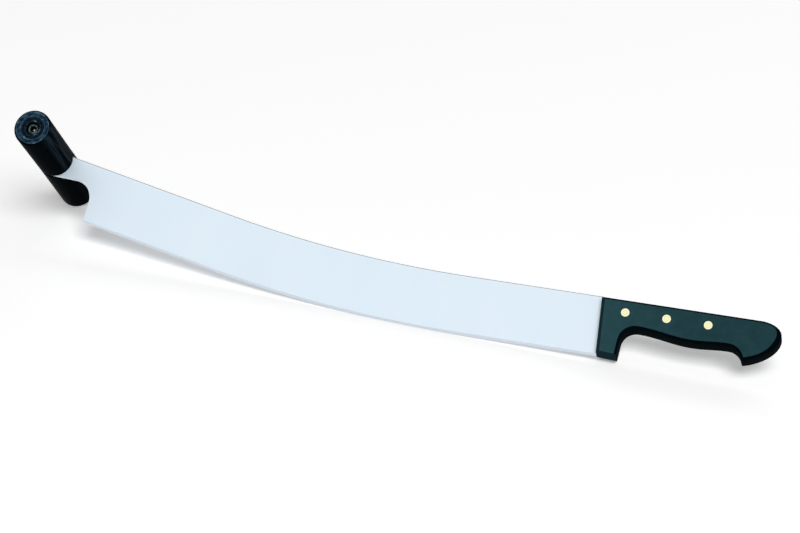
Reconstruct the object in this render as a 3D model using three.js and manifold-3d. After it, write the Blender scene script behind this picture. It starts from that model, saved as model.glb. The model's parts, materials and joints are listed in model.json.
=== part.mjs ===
// Two-handled cheese knife: a long blade swept up towards its tip, a riveted handle at the heel and
// a cross grip, in two turned halves, bolted through the tongue at the tip. Millimetres, +Z up.
// Each piece is drawn in the knife's own frame: X runs along the straight back towards the butt, Y
// towards the back and Z towards the near side. The blade's middle plane is at Z 0, and the origin is
// where the back meets the guard. The whole knife is then turned to lie on a table as it would rest.
import * as THREE from 'three';
import { mergeVertices, toCreasedNormals } from 'three/addons/utils/BufferGeometryUtils.js';
import Module from 'manifold-3d';

const wasm = await Module();
wasm.setup();

const degrees = (angle) => THREE.MathUtils.degToRad(angle);

// Fits
const FIT = 0.3; // gap between pieces that seat on each other

// Blade
const BLADE_WIDTH = 44.6;
const BLADE_THICKNESS = 2.5;
const HEEL_STRAIGHT = 98; // straight back, from the guard to the start of the sweep
const SWEEP_RADIUS = 910; // of the back
const SWEEP_ANGLE = degrees(11.6);
const TIP_STRAIGHT = 148.5; // straight back, from the end of the sweep to the cross grip's axis
const BEVEL_HEIGHT = 1.6; // of the ground edge, on both sides
const EDGE_LAND = 0.3; // thickness left at the cutting edge

// Tip: a tongue with a round eye for the cross grip, over a round notch
const GRIP_AXIS_DEPTH = 6.6; // below the back
const EYE_MARGIN = 1; // the eye lies this far inside the grip's foot
const NOTCH_RADIUS = 15.4;
const NOTCH_SETBACK = 24.2; // notch centre, from the grip's axis towards the heel
const NOTCH_DROP = 24.8; // notch centre, from the grip's axis towards the edge
const NOSE_SETBACK = 41.8; // lower corner of the blade, from the grip's axis towards the heel

// Handle
const HANDLE_LENGTH = 130;
const HANDLE_THICKNESS = 17.4;
const HANDLE_EDGE_RADIUS = 2.2;
const BACK_STEP = 2.2; // the handle's back lies this far below the blade's
const GUARD_RAKE = degrees(4.3);
const GUARD_DEPTH = 44.5; // from the blade's back to the guard's lower front corner
const GUARD_FRONT_SLOPE = 2.5; // each scale's front edge slopes down over this length
const GUARD_FRONT_LAND = 5.4; // height over the blade that the slope leaves standing
const GUARD_FOOT_DRAFT = degrees(3); // the guard's lower end falls away towards the rear
const GUARD_FOOT_SLOPE = 1.8; // the lower end rises this far from its middle to each side
const GUARD_FOOT_REACH = 17.7; // from the origin to the guard's lower rear corner
const RECESS_RADIUS = 10.8; // finger recess behind the guard
const RECESS_CENTRE_REACH = 29.2;
const NECK_DEPTH = 22; // from the blade's back to the top of the finger recess
const BELLY_DEPTH = 25.9;
const BELLY_REACH = 68;
const BELLY_FRONT_EASE = 13.5; // how far the belly's curve keeps level at each of its ends
const BELLY_REAR_EASE = 10.5;
const HOOK_NECK_DEPTH = 24.3;
const HOOK_RADIUS = 10.9;
const HOOK_CENTRE_REACH = 94.3;
const HOOK_END_ANGLE = degrees(22);
const HOOK_LIP = 2.3; // straight run from the end of the hook's curve to its tip
const BUTT_WIDEST_DEPTH = 11.3; // from the blade's back to where the butt reaches furthest
const BUTT_ROUND_LENGTH = 16; // of the rounded end of the back
const BUTT_HOOK_EASE = 11.5; // how far the butt's lower curve keeps its heading at each of its ends
const BUTT_HOOK_RISE = degrees(15);
const BUTT_END_EASE = 10.8;

// Tang
const TANG_LENGTH = 108;
const TANG_HEIGHT = 16;
const TANG_END_RADIUS = 5;
const TANG_ROOT = 6; // length of the tang's outline that is drawn inside the blade

// Rivets, each a barrel with a near head and a pin with a far head
const RIVET_NAMES = ['front', 'middle', 'rear'];
const RIVET_FIRST_REACH = 18.8;
const RIVET_PITCH = 29.7;
const RIVET_DEPTH = 11.8; // from the blade's back
const RIVET_HEAD_DIAMETER = 6.3;
const RIVET_HEAD_HEIGHT = 1.8;
const RIVET_BARREL_DIAMETER = 4.2;
const RIVET_PIN_DIAMETER = 2.2;
const RIVET_BARREL_STOP = 3; // the barrel ends this far short of the pin's head
const RIVET_PIN_STOP = 1.5; // the pin ends this far short of the barrel's head

// Cross grip, each half turned
const GRIP_HALF_LENGTH = 62;
const GRIP_FOOT_DIAMETER = 27.4;
const GRIP_END_DIAMETER = 28;
const GRIP_RIM_RADIUS = 1.3;
const GRIP_FOOT_CHAMFER = 0.4;
const GRIP_DISH_DIAMETER = 18.2;
const GRIP_DISH_DEPTH = 0.9;
const HEAD_RECESS_DEPTH = 8;
const NUT_RECESS_DEPTH = 7;

// Screw and nut of the cross grip
const SCREW_DIAMETER = 5;
const SCREW_HEAD_DIAMETER = 8.5;
const SCREW_HEAD_HEIGHT = 5;
const SCREW_HEAD_CHAMFER = 0.5;
const SCREW_SOCKET_WIDTH = 4; // across flats
const SCREW_SOCKET_DEPTH = 2.6;
const SCREW_END_CHAMFER = 0.6;
const SCREW_END_RECESS = 1.2; // the screw ends this far inside the far half's end face
const HEAD_RECESS_MARGIN = 0.7; // room round the screw's head
const NUT_WIDTH = 8; // across flats
const NUT_HEIGHT = 4.7;

// Smoothness of round forms
const GRIP_SIDES = 48;
const SMALL_SIDES = 24;
const ARC_STEPS = 7;
const SWEEP_STEPS = 24;
const EDGE_ROUND_STEPS = 4;
const LEAST_STEP = 0.001;
const CREASE_ANGLE = degrees(30);

// Steps in which the knife settles on the table
const SETTLING_STEPS = 20;

// Materials
const steel = new THREE.MeshStandardMaterial({ color: 0xdde7ee, roughness: 0.35, metalness: 1 });
const scalePlastic = new THREE.MeshStandardMaterial({ color: 0x1d3236, roughness: 0.55, metalness: 0 });
const gripPlastic = new THREE.MeshStandardMaterial({ color: 0x0d1216, roughness: 0.3, metalness: 0 });
const brass = new THREE.MeshStandardMaterial({ color: 0xe9d58c, roughness: 0.3, metalness: 1 });
const zincSteel = new THREE.MeshStandardMaterial({ color: 0xb9bcbd, roughness: 0.3, metalness: 1 });

// A closed solid from a geometry, for joins and cuts
function solid(geometry) {
  geometry.deleteAttribute('normal');
  geometry.deleteAttribute('uv');
  const merged = mergeVertices(geometry);
  const corners = merged.index.array;
  const triangles = [];
  for (let first = 0; first < corners.length; first += 3) {
    const [a, b, c] = corners.slice(first, first + 3);
    if (a !== b && b !== c && c !== a) triangles.push(a, b, c);
  }
  const mesh = new wasm.Mesh({
    numProp: 3,
    vertProperties: merged.attributes.position.array,
    triVerts: new Uint32Array(triangles),
  });
  return new wasm.Manifold(mesh);
}

// A named piece of the knife from a solid
function piece(name, body, material) {
  const { vertProperties, triVerts } = body.getMesh();
  const geometry = new THREE.BufferGeometry();
  geometry.setAttribute('position', new THREE.BufferAttribute(vertProperties, 3));
  geometry.setIndex(new THREE.BufferAttribute(triVerts, 1));
  const mesh = new THREE.Mesh(toCreasedNormals(geometry, CREASE_ANGLE), material);
  mesh.name = name;
  return mesh;
}

// An outline as straight steps, without the doubled points where two of its curves meet
function stepped(outline) {
  const points = outline.getPoints(ARC_STEPS);
  return new THREE.Shape(points.filter((point, index) => {
    const next = points[(index + 1) % points.length];
    return point.distanceTo(next) > LEAST_STEP;
  }));
}

// An outline pulled along Z from low to high
function prism(outline, low, high) {
  const settings = { depth: high - low, bevelEnabled: false };
  return solid(new THREE.ExtrudeGeometry(stepped(outline), settings).translate(0, 0, low));
}

// A profile of [radius, height] points turned about the Z axis
function turned(profile, sides) {
  const points = profile.map(([radius, height]) => new THREE.Vector2(radius, height));
  return solid(new THREE.LatheGeometry(points, sides).rotateX(Math.PI / 2));
}

// A round bar on the Z axis at x, y
function bar(radius, low, high, x = 0, y = 0) {
  const profile = [[0, low], [radius, low], [radius, high], [0, high]];
  return turned(profile, SMALL_SIDES).translate([x, y, 0]);
}

// A six-sided outline, measured across its flats
function hexagon(width) {
  const corners = [];
  for (let side = 0; side < 6; side += 1) {
    const angle = side * Math.PI / 3;
    const reach = width / Math.sqrt(3);
    corners.push(new THREE.Vector2(reach * Math.cos(angle), reach * Math.sin(angle)));
  }
  return new THREE.Shape(corners);
}

// A solid skinned over sections that each have the same number of points
function loft(sections) {
  const count = sections[0].length;
  const positions = sections.flat().flatMap((point) => point.toArray());
  const triangles = [];
  for (let row = 0; row + 1 < sections.length; row += 1) {
    for (let column = 0; column < count; column += 1) {
      const a = row * count + column;
      const b = row * count + (column + 1) % count;
      triangles.push(a, b + count, b, a, a + count, b + count);
    }
  }
  const last = (sections.length - 1) * count;
  for (let corner = 1; corner + 1 < count; corner += 1) {
    triangles.push(0, corner, corner + 1, last, last + corner + 1, last + corner);
  }
  const geometry = new THREE.BufferGeometry();
  geometry.setAttribute('position', new THREE.Float32BufferAttribute(positions, 3));
  geometry.setIndex(triangles);
  return solid(geometry);
}

// Place of the blade's back and the direction it has turned by, at a fraction of the sweep
function backAt(fraction) {
  const turn = SWEEP_ANGLE * fraction;
  const x = -HEEL_STRAIGHT - SWEEP_RADIUS * Math.sin(turn);
  const y = SWEEP_RADIUS * (1 - Math.cos(turn));
  return { point: new THREE.Vector2(x, y), turn };
}

// Directions at the tip: along the blade away from the heel, and across it towards the edge
const sweepEnd = backAt(1).point;
const along = new THREE.Vector2(-Math.cos(SWEEP_ANGLE), Math.sin(SWEEP_ANGLE));
const across = new THREE.Vector2(-Math.sin(SWEEP_ANGLE), -Math.cos(SWEEP_ANGLE));

// A point of the tip, from the end of the sweep
function tipPoint(ahead, below) {
  return sweepEnd.clone().addScaledVector(along, ahead).addScaledVector(across, below);
}

const gripAxis = tipPoint(TIP_STRAIGHT, GRIP_AXIS_DEPTH);
const eyeRadius = GRIP_FOOT_DIAMETER / 2 - EYE_MARGIN;
const screwHoleRadius = SCREW_DIAMETER / 2 + FIT;
const guardFront = (y) => -y * Math.tan(GUARD_RAKE);
const guardCorner = new THREE.Vector2(guardFront(-GUARD_DEPTH), -GUARD_DEPTH);

// The strip that the blade is cut from: flat sides, a ground bevel and a thin edge
function bladeStrip() {
  const halfThickness = BLADE_THICKNESS / 2;
  const halfLand = EDGE_LAND / 2;
  const profile = [
    [0, -halfThickness],
    [0, halfThickness],
    [BLADE_WIDTH - BEVEL_HEIGHT, halfThickness],
    [BLADE_WIDTH, halfLand],
    [BLADE_WIDTH, -halfLand],
    [BLADE_WIDTH - BEVEL_HEIGHT, -halfThickness],
  ];
  const heel = profile.map(([depth, z]) => new THREE.Vector3(guardFront(-depth) - FIT, -depth, z));
  const sections = [heel];
  for (let step = 0; step <= SWEEP_STEPS; step += 1) {
    const { point, turn } = backAt(step / SWEEP_STEPS);
    sections.push(profile.map(([depth, z]) => new THREE.Vector3(
      point.x - depth * Math.sin(turn),
      point.y - depth * Math.cos(turn),
      z,
    )));
  }
  const reach = TIP_STRAIGHT + 2 * eyeRadius;
  sections.push(profile.map(([depth, z]) => {
    const { x, y } = tipPoint(reach, depth);
    return new THREE.Vector3(x, y, z);
  }));
  return loft(sections);
}

// What is cut off the end of the strip: the nose line, the notch under the tongue and the round of
// the eye. The nose line is tangent to the notch, and the tongue's lower edge to notch and eye.
function tipCut() {
  const margin = BLADE_WIDTH;
  const corner = tipPoint(TIP_STRAIGHT - NOSE_SETBACK, BLADE_WIDTH);
  const notch = tipPoint(TIP_STRAIGHT - NOTCH_SETBACK, GRIP_AXIS_DEPTH + NOTCH_DROP);
  const fromNotch = corner.clone().sub(notch);
  const noseAngle = fromNotch.angle() + Math.acos(NOTCH_RADIUS / fromNotch.length());
  const toNotch = notch.clone().sub(gripAxis);
  const eyeAngle = toNotch.angle() - Math.acos((eyeRadius + NOTCH_RADIUS) / toNotch.length());
  const backReach = Math.sqrt(eyeRadius ** 2 - GRIP_AXIS_DEPTH ** 2);
  const eyeTop = tipPoint(TIP_STRAIGHT + backReach, 0);
  const noseTouch = new THREE.Vector2(Math.cos(noseAngle), Math.sin(noseAngle));
  noseTouch.multiplyScalar(NOTCH_RADIUS).add(notch);
  const below = corner.clone().sub(noseTouch).setLength(margin).add(corner);
  const cut = new THREE.Shape();
  cut.moveTo(below.x, below.y);
  cut.lineTo(noseTouch.x, noseTouch.y);
  cut.absarc(notch.x, notch.y, NOTCH_RADIUS, noseAngle, eyeAngle + Math.PI, false);
  cut.absarc(gripAxis.x, gripAxis.y, eyeRadius, eyeAngle, eyeTop.clone().sub(gripAxis).angle(), true);
  const above = eyeTop.clone().addScaledVector(across, -margin);
  const beyond = above.clone().addScaledVector(along, margin);
  const beyondBelow = beyond.clone().addScaledVector(across, 2 * margin + BLADE_WIDTH);
  for (const { x, y } of [above, beyond, beyondBelow]) cut.lineTo(x, y);
  return prism(cut, -BLADE_THICKNESS, BLADE_THICKNESS);
}

// The tang's outline, or its pocket's where room is the gap left round it
function tangOutline(room, front, top) {
  const rear = TANG_LENGTH + room;
  const bottom = -BACK_STEP - TANG_HEIGHT - room;
  const radius = TANG_END_RADIUS + room;
  const outline = new THREE.Shape();
  outline.moveTo(front, top);
  outline.lineTo(front, bottom);
  outline.absarc(rear - radius, bottom + radius, radius, -Math.PI / 2, 0, false);
  outline.lineTo(rear, top);
  return outline;
}

const rivetPlaces = RIVET_NAMES.map((name, index) => ({
  name,
  x: RIVET_FIRST_REACH + index * RIVET_PITCH,
  y: -RIVET_DEPTH,
}));
const rivetHoleRadius = RIVET_BARREL_DIAMETER / 2 + FIT;

// Blade with its tang and tongue, in one piece of steel
function blade() {
  const halfThickness = BLADE_THICKNESS / 2;
  const tang = prism(tangOutline(0, -TANG_ROOT, -BACK_STEP), -halfThickness, halfThickness);
  let body = bladeStrip().subtract(tipCut()).add(tang);
  for (const { x, y } of rivetPlaces) {
    body = body.subtract(bar(rivetHoleRadius, -BLADE_THICKNESS, BLADE_THICKNESS, x, y));
  }
  body = body.subtract(bar(screwHoleRadius, -BLADE_THICKNESS, BLADE_THICKNESS, gripAxis.x, gripAxis.y));
  return piece('blade', body, steel);
}

// Outline of the handle, from the front of its back down the guard and round to the butt
function handleOutline() {
  const recessY = -NECK_DEPTH - RECESS_RADIUS;
  const hookY = -HOOK_NECK_DEPTH - HOOK_RADIUS;
  const hookCosine = Math.cos(HOOK_END_ANGLE);
  const hookSine = Math.sin(HOOK_END_ANGLE);
  const hookTipX = HOOK_CENTRE_REACH + HOOK_RADIUS * hookCosine + HOOK_LIP * hookSine;
  const hookTipY = hookY + HOOK_RADIUS * hookSine - HOOK_LIP * hookCosine;
  const buttRise = BUTT_WIDEST_DEPTH - BACK_STEP;
  const footFall = (GUARD_FOOT_REACH - guardCorner.x) * Math.tan(GUARD_FOOT_DRAFT);
  const outline = new THREE.Shape();
  outline.moveTo(guardFront(-BACK_STEP), -BACK_STEP);
  outline.lineTo(guardCorner.x, guardCorner.y);
  outline.lineTo(GUARD_FOOT_REACH, guardCorner.y - footFall);
  outline.absarc(RECESS_CENTRE_REACH, recessY, RECESS_RADIUS, Math.PI, Math.PI / 2, true);
  outline.bezierCurveTo(
    RECESS_CENTRE_REACH + BELLY_FRONT_EASE, -NECK_DEPTH,
    BELLY_REACH - BELLY_FRONT_EASE, -BELLY_DEPTH,
    BELLY_REACH, -BELLY_DEPTH,
  );
  outline.bezierCurveTo(
    BELLY_REACH + BELLY_REAR_EASE, -BELLY_DEPTH,
    HOOK_CENTRE_REACH - BELLY_REAR_EASE, -HOOK_NECK_DEPTH,
    HOOK_CENTRE_REACH, -HOOK_NECK_DEPTH,
  );
  outline.absarc(HOOK_CENTRE_REACH, hookY, HOOK_RADIUS, Math.PI / 2, HOOK_END_ANGLE, true);
  outline.lineTo(hookTipX, hookTipY);
  outline.bezierCurveTo(
    hookTipX + BUTT_HOOK_EASE * Math.cos(BUTT_HOOK_RISE),
    hookTipY + BUTT_HOOK_EASE * Math.sin(BUTT_HOOK_RISE),
    HANDLE_LENGTH, -BUTT_WIDEST_DEPTH - BUTT_END_EASE,
    HANDLE_LENGTH, -BUTT_WIDEST_DEPTH,
  );
  outline.absellipse(
    HANDLE_LENGTH - BUTT_ROUND_LENGTH, -BUTT_WIDEST_DEPTH,
    BUTT_ROUND_LENGTH, buttRise,
    0, Math.PI / 2, false,
  );
  return outline;
}

// What is cut off a scale to slope one of the two edges that meet in the guard's lower front corner:
// a wedge that starts at a height over the middle plane and comes out of the face after a length
function slopeCut(inward, length, height, side) {
  const rise = HANDLE_THICKNESS / 2 - height;
  const section = new THREE.Shape([
    new THREE.Vector2(-length, height - rise),
    new THREE.Vector2(2 * length, height + 2 * rise),
    new THREE.Vector2(-length, height + 2 * rise),
  ]);
  const reach = 2 * GUARD_DEPTH;
  const wedge = new THREE.ExtrudeGeometry(section, { depth: 2 * reach, bevelEnabled: false });
  const slopeward = new THREE.Vector3(inward.x, inward.y, 0);
  const outward = new THREE.Vector3(0, 0, side);
  const edgeward = new THREE.Vector3().crossVectors(slopeward, outward);
  const place = new THREE.Matrix4().makeBasis(slopeward, outward, edgeward);
  place.setPosition(guardCorner.x, guardCorner.y, 0);
  return solid(wedge.translate(0, 0, -reach).applyMatrix4(place));
}

// One scale: half of the handle's rounded body, sloped at the guard's front and foot, with a pocket
// for its half of the tang and stepped holes for the rivets. The side is 1 for the near scale and -1
// for the far one.
function scale(name, side) {
  const halfThickness = HANDLE_THICKNESS / 2;
  const flank = halfThickness - HANDLE_EDGE_RADIUS;
  const settings = {
    depth: 2 * flank,
    bevelThickness: HANDLE_EDGE_RADIUS,
    bevelSize: HANDLE_EDGE_RADIUS,
    bevelOffset: -HANDLE_EDGE_RADIUS,
    bevelSegments: EDGE_ROUND_STEPS,
  };
  const rounded = new THREE.ExtrudeGeometry(stepped(handleOutline()), settings);
  const whole = solid(rounded.translate(0, 0, -flank));
  const reach = 2 * HANDLE_LENGTH;
  const otherHalf = new THREE.BoxGeometry(2 * reach, 2 * reach, HANDLE_THICKNESS);
  otherHalf.translate(0, 0, side * (FIT - HANDLE_THICKNESS) / 2);
  const pocketDepth = BLADE_THICKNESS / 2 + FIT;
  const pocket = prism(tangOutline(FIT, -HANDLE_LENGTH, BLADE_WIDTH), -pocketDepth, pocketDepth);
  let body = whole.subtract(solid(otherHalf)).subtract(pocket);
  const backward = new THREE.Vector2(Math.cos(GUARD_RAKE), Math.sin(GUARD_RAKE));
  const upward = new THREE.Vector2(Math.sin(GUARD_FOOT_DRAFT), Math.cos(GUARD_FOOT_DRAFT));
  const frontHeight = BLADE_THICKNESS / 2 + GUARD_FRONT_LAND;
  body = body.subtract(slopeCut(backward, GUARD_FRONT_SLOPE, frontHeight, side));
  body = body.subtract(slopeCut(upward, GUARD_FOOT_SLOPE, 0, side));
  const seat = side * (halfThickness - RIVET_HEAD_HEIGHT - FIT);
  const outside = side * HANDLE_THICKNESS;
  const headRoom = RIVET_HEAD_DIAMETER / 2 + FIT;
  for (const { x, y } of rivetPlaces) {
    body = body.subtract(bar(rivetHoleRadius, -HANDLE_THICKNESS, HANDLE_THICKNESS, x, y));
    body = body.subtract(bar(headRoom, Math.min(seat, outside), Math.max(seat, outside), x, y));
  }
  return piece(name, body, scalePlastic);
}

// A cutler's rivet: a headed barrel from the near side takes a headed pin from the far side
function rivet({ name, x, y }) {
  const face = HANDLE_THICKNESS / 2;
  const shoulder = face - RIVET_HEAD_HEIGHT;
  const headRadius = RIVET_HEAD_DIAMETER / 2;
  const barrelRadius = RIVET_BARREL_DIAMETER / 2;
  const pinRadius = RIVET_PIN_DIAMETER / 2;
  const boreRadius = pinRadius + FIT;
  const barrel = turned([
    [0, shoulder],
    [boreRadius, shoulder],
    [boreRadius, RIVET_BARREL_STOP - shoulder],
    [barrelRadius, RIVET_BARREL_STOP - shoulder],
    [barrelRadius, shoulder],
    [headRadius, shoulder],
    [headRadius, face],
    [0, face],
  ], SMALL_SIDES);
  const pin = turned([
    [0, -face],
    [headRadius, -face],
    [headRadius, -shoulder],
    [pinRadius, -shoulder],
    [pinRadius, shoulder - RIVET_PIN_STOP],
    [0, shoulder - RIVET_PIN_STOP],
  ], SMALL_SIDES);
  const pair = new THREE.Group();
  pair.add(piece(`rivet_${name}_barrel`, barrel, brass), piece(`rivet_${name}_pin`, pin, brass));
  pair.position.set(x, y, 0);
  return pair;
}

// One half of the cross grip, standing on its foot: coned sides, a rounded rim and a dished end
// with a bore down its middle
function gripHalf() {
  const footRadius = GRIP_FOOT_DIAMETER / 2;
  const endRadius = GRIP_END_DIAMETER / 2;
  const profile = [
    [screwHoleRadius, 0],
    [footRadius - GRIP_FOOT_CHAMFER, 0],
    [footRadius, GRIP_FOOT_CHAMFER],
  ];
  for (let step = 0; step <= EDGE_ROUND_STEPS; step += 1) {
    const angle = step / EDGE_ROUND_STEPS * Math.PI / 2;
    profile.push([
      endRadius - GRIP_RIM_RADIUS * (1 - Math.cos(angle)),
      GRIP_HALF_LENGTH - GRIP_RIM_RADIUS * (1 - Math.sin(angle)),
    ]);
  }
  profile.push(
    [GRIP_DISH_DIAMETER / 2, GRIP_HALF_LENGTH],
    [GRIP_DISH_DIAMETER / 2 - GRIP_DISH_DEPTH, GRIP_HALF_LENGTH - GRIP_DISH_DEPTH],
    [screwHoleRadius, GRIP_HALF_LENGTH - GRIP_DISH_DEPTH],
    [screwHoleRadius, 0],
  );
  return turned(profile, GRIP_SIDES);
}

const headSeat = GRIP_HALF_LENGTH - HEAD_RECESS_DEPTH;
const nutSeat = GRIP_HALF_LENGTH - NUT_RECESS_DEPTH;
const gripFoot = BLADE_THICKNESS / 2 + FIT;

// The near half has a round recess for the screw's head
function nearGrip() {
  const recess = bar(SCREW_HEAD_DIAMETER / 2 + HEAD_RECESS_MARGIN, headSeat, GRIP_HALF_LENGTH);
  const mesh = piece('cross_grip_near', gripHalf().subtract(recess), gripPlastic);
  mesh.position.z = gripFoot;
  return mesh;
}

// The far half has a six-sided recess that keeps the nut from turning
function farGrip() {
  const recess = prism(hexagon(NUT_WIDTH + 2 * FIT), nutSeat, GRIP_HALF_LENGTH);
  const mesh = piece('cross_grip_far', gripHalf().subtract(recess), gripPlastic);
  mesh.position.z = -gripFoot;
  mesh.rotation.x = Math.PI;
  return mesh;
}

// Socket-head screw, from the near half's recess through the tongue to the nut
function gripScrew() {
  const radius = SCREW_DIAMETER / 2;
  const headRadius = SCREW_HEAD_DIAMETER / 2;
  const underHead = gripFoot + headSeat + FIT;
  const top = underHead + SCREW_HEAD_HEIGHT;
  const end = SCREW_END_RECESS - gripFoot - GRIP_HALF_LENGTH;
  const body = turned([
    [0, end],
    [radius - SCREW_END_CHAMFER, end],
    [radius, end + SCREW_END_CHAMFER],
    [radius, underHead],
    [headRadius, underHead],
    [headRadius, top - SCREW_HEAD_CHAMFER],
    [headRadius - SCREW_HEAD_CHAMFER, top],
    [0, top],
  ], SMALL_SIDES);
  const socket = prism(hexagon(SCREW_SOCKET_WIDTH), top - SCREW_SOCKET_DEPTH, top + SCREW_SOCKET_DEPTH);
  return piece('grip_screw', body.subtract(socket), zincSteel);
}

// Hexagon nut in the far half's recess
function gripNut() {
  const seat = -gripFoot - nutSeat - FIT;
  const body = prism(hexagon(NUT_WIDTH), seat - NUT_HEIGHT, seat);
  const hole = bar(screwHoleRadius, seat - 2 * NUT_HEIGHT, seat + NUT_HEIGHT);
  return piece('grip_nut', body.subtract(hole), zincSteel);
}

const knife = new THREE.Group();
const bladePiece = blade();
const farScale = scale('handle_scale_far', -1);
const farGripHalf = farGrip();
const handle = new THREE.Group();
handle.add(scale('handle_scale_near', 1), farScale, ...rivetPlaces.map(rivet));
const crossGrip = new THREE.Group();
crossGrip.position.set(gripAxis.x, gripAxis.y, 0);
crossGrip.add(nearGrip(), farGripHalf, gripScrew(), gripNut());
knife.add(bladePiece, handle, crossGrip);
knife.updateMatrixWorld(true);

// The point of a piece that lies lowest when up points upwards
function lowestPoint(mesh, up) {
  const corners = mesh.geometry.attributes.position;
  const corner = new THREE.Vector3();
  const lowest = new THREE.Vector3();
  let height = Infinity;
  for (let index = 0; index < corners.count; index += 1) {
    corner.fromBufferAttribute(corners, index).applyMatrix4(mesh.matrixWorld);
    if (corner.dot(up) < height) {
      height = corner.dot(up);
      lowest.copy(corner);
    }
  }
  return lowest;
}

// The knife rests on three points: its cutting edge, the guard of the far scale and the rim of the
// far grip. The table's plane through them is found by letting the knife settle step by step.
const up = new THREE.Vector3(0, 1, 1).normalize();
for (let step = 0; step < SETTLING_STEPS; step += 1) {
  const [edge, guard, rim] = [bladePiece, farScale, farGripHalf].map((mesh) => lowestPoint(mesh, up));
  up.crossVectors(guard.sub(rim), edge.sub(rim)).normalize();
  if (up.z < 0) up.negate();
}
const lengthwise = new THREE.Vector3(1, 0, 0).projectOnPlane(up).normalize();
const sideways = new THREE.Vector3().crossVectors(up, lengthwise);
const lying = new THREE.Matrix4().makeBasis(lengthwise, sideways, up).transpose();
knife.setRotationFromMatrix(lying);
knife.updateMatrixWorld(true);

// The origin is on the table, under the middle of the knife's box
const box = new THREE.Box3().setFromObject(knife, true);
const middle = box.getCenter(new THREE.Vector3());
knife.position.set(-middle.x, -middle.y, -box.min.z);

const table = new THREE.Group();
table.add(knife);

export default table;
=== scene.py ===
import json
import math

import bmesh
import bpy
from mathutils import Matrix, Vector


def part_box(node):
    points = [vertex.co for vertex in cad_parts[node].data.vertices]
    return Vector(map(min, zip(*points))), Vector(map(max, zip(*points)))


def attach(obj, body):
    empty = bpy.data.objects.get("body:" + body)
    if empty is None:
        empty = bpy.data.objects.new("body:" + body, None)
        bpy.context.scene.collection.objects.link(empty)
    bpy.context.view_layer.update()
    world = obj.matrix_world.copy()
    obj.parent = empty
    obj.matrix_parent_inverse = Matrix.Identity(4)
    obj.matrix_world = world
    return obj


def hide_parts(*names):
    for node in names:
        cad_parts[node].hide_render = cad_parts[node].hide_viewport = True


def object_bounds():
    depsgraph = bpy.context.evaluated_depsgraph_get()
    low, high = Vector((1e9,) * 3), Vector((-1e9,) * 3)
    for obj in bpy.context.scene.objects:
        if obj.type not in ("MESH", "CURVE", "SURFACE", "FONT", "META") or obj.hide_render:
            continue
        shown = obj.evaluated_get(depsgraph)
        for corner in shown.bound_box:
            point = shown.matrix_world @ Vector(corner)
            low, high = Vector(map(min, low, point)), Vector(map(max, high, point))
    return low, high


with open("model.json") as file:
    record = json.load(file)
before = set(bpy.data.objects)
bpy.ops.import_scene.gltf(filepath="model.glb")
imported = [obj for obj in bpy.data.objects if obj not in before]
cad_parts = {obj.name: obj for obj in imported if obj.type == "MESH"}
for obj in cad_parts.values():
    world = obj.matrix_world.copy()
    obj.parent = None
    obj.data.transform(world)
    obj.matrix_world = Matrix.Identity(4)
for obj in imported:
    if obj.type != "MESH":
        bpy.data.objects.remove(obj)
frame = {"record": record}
cad_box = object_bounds()

# The knife lies on the table, rolled on to its cutting edge, its guard and the rim of the far grip.
# Its own frame has X along the straight back towards the butt, Y towards the back and Z towards the
# near side, with the origin where the back meets the guard. Sizes below are in millimetres.
mm = 0.001
face_point = Vector((60, -16, 8.7))
side_face = next(mount for mount in frame["record"]["mounts"] if mount["name"] == "handle_side_face")
near_side = Vector(side_face["axis"]).normalized()
front_rivet, rear_rivet = (sum(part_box(f"rivet_{name}_barrel"), Vector()) / 2 for name in ("front", "rear"))
lengthwise = rear_rivet - front_rivet
lengthwise = (lengthwise - lengthwise.dot(near_side) * near_side).normalized()
turn = Matrix((lengthwise, near_side.cross(lengthwise), near_side)).transposed()
knife = Matrix.Translation(Vector(side_face["pos_m"]) - turn @ face_point * mm) @ turn.to_4x4()


# Blade: a strip of stainless steel, straight at the heel, swept up and straight again to the tip, with
# a ground edge. A round notch is cut in its end, which leaves a tongue with an eye for the cross grip.
# Its tang runs on between the scales and shows along the handle's back.
blade_width = 44.59
blade_thickness = 2.5
back_round = 0.8
back_round_steps = 6
edge_bevel = 1.6
edge_land = 0.3
heel_straight = 98
heel_gap = 0.05
sweep_radius = 910
sweep_angle = math.radians(11.6)
tip_straight = 148.5
straight_steps = 8
sweep_steps = 48
guard_rake = math.radians(4.3)
grip_axis_depth = 6.6
eye_radius = 12.7
notch_radius = 15.4
notch_setback = 24.2
notch_drop = 24.8
nose_setback = 41.8
tip_steps = 48
tip_cut_lead = 10
tip_cut_rise = 20
tip_cut_reach = 60
tip_cut_depth = 120
tang_length = 108
tang_height = 16
tang_start = 0.5
tang_end_radius = 5
tang_end_steps = 12
handle_back = -2.2
crisp_angle = math.radians(20)
square_facing = 0.9
line_depth = 0.02
face_tones = (0.74, 0.86, 0.965), (0.80, 0.905, 0.985)
edge_shade_tones = (0.54, 0.61, 0.68), (0.72, 0.79, 0.86)
back_shade_tones = (0.34, 0.36, 0.36), (0.52, 0.54, 0.54)
face_metal_share = 0.4
sweep_length = sweep_radius * sweep_angle
sweep_end = heel_straight + sweep_length
grip_run = sweep_end + tip_straight


def blade_place(run, depth):
    """A point of the blade's plane, run along the back from the guard and depth below the back."""
    turned = min(max(run - heel_straight, 0) / sweep_radius, sweep_angle)
    past = max(run - sweep_end, 0)
    x = -min(run, heel_straight) - sweep_radius * math.sin(turned) - past * math.cos(turned)
    y = sweep_radius * (1 - math.cos(turned)) + past * math.sin(turned)
    return Vector((x - depth * math.sin(turned), y - depth * math.cos(turned)))


def arc(centre, radius, start, end, steps):
    """Points of an arc from one angle to another."""
    angles = (start + (end - start) * step / steps for step in range(steps + 1))
    return [centre + radius * Vector((math.cos(angle), math.sin(angle))) for angle in angles]


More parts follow.
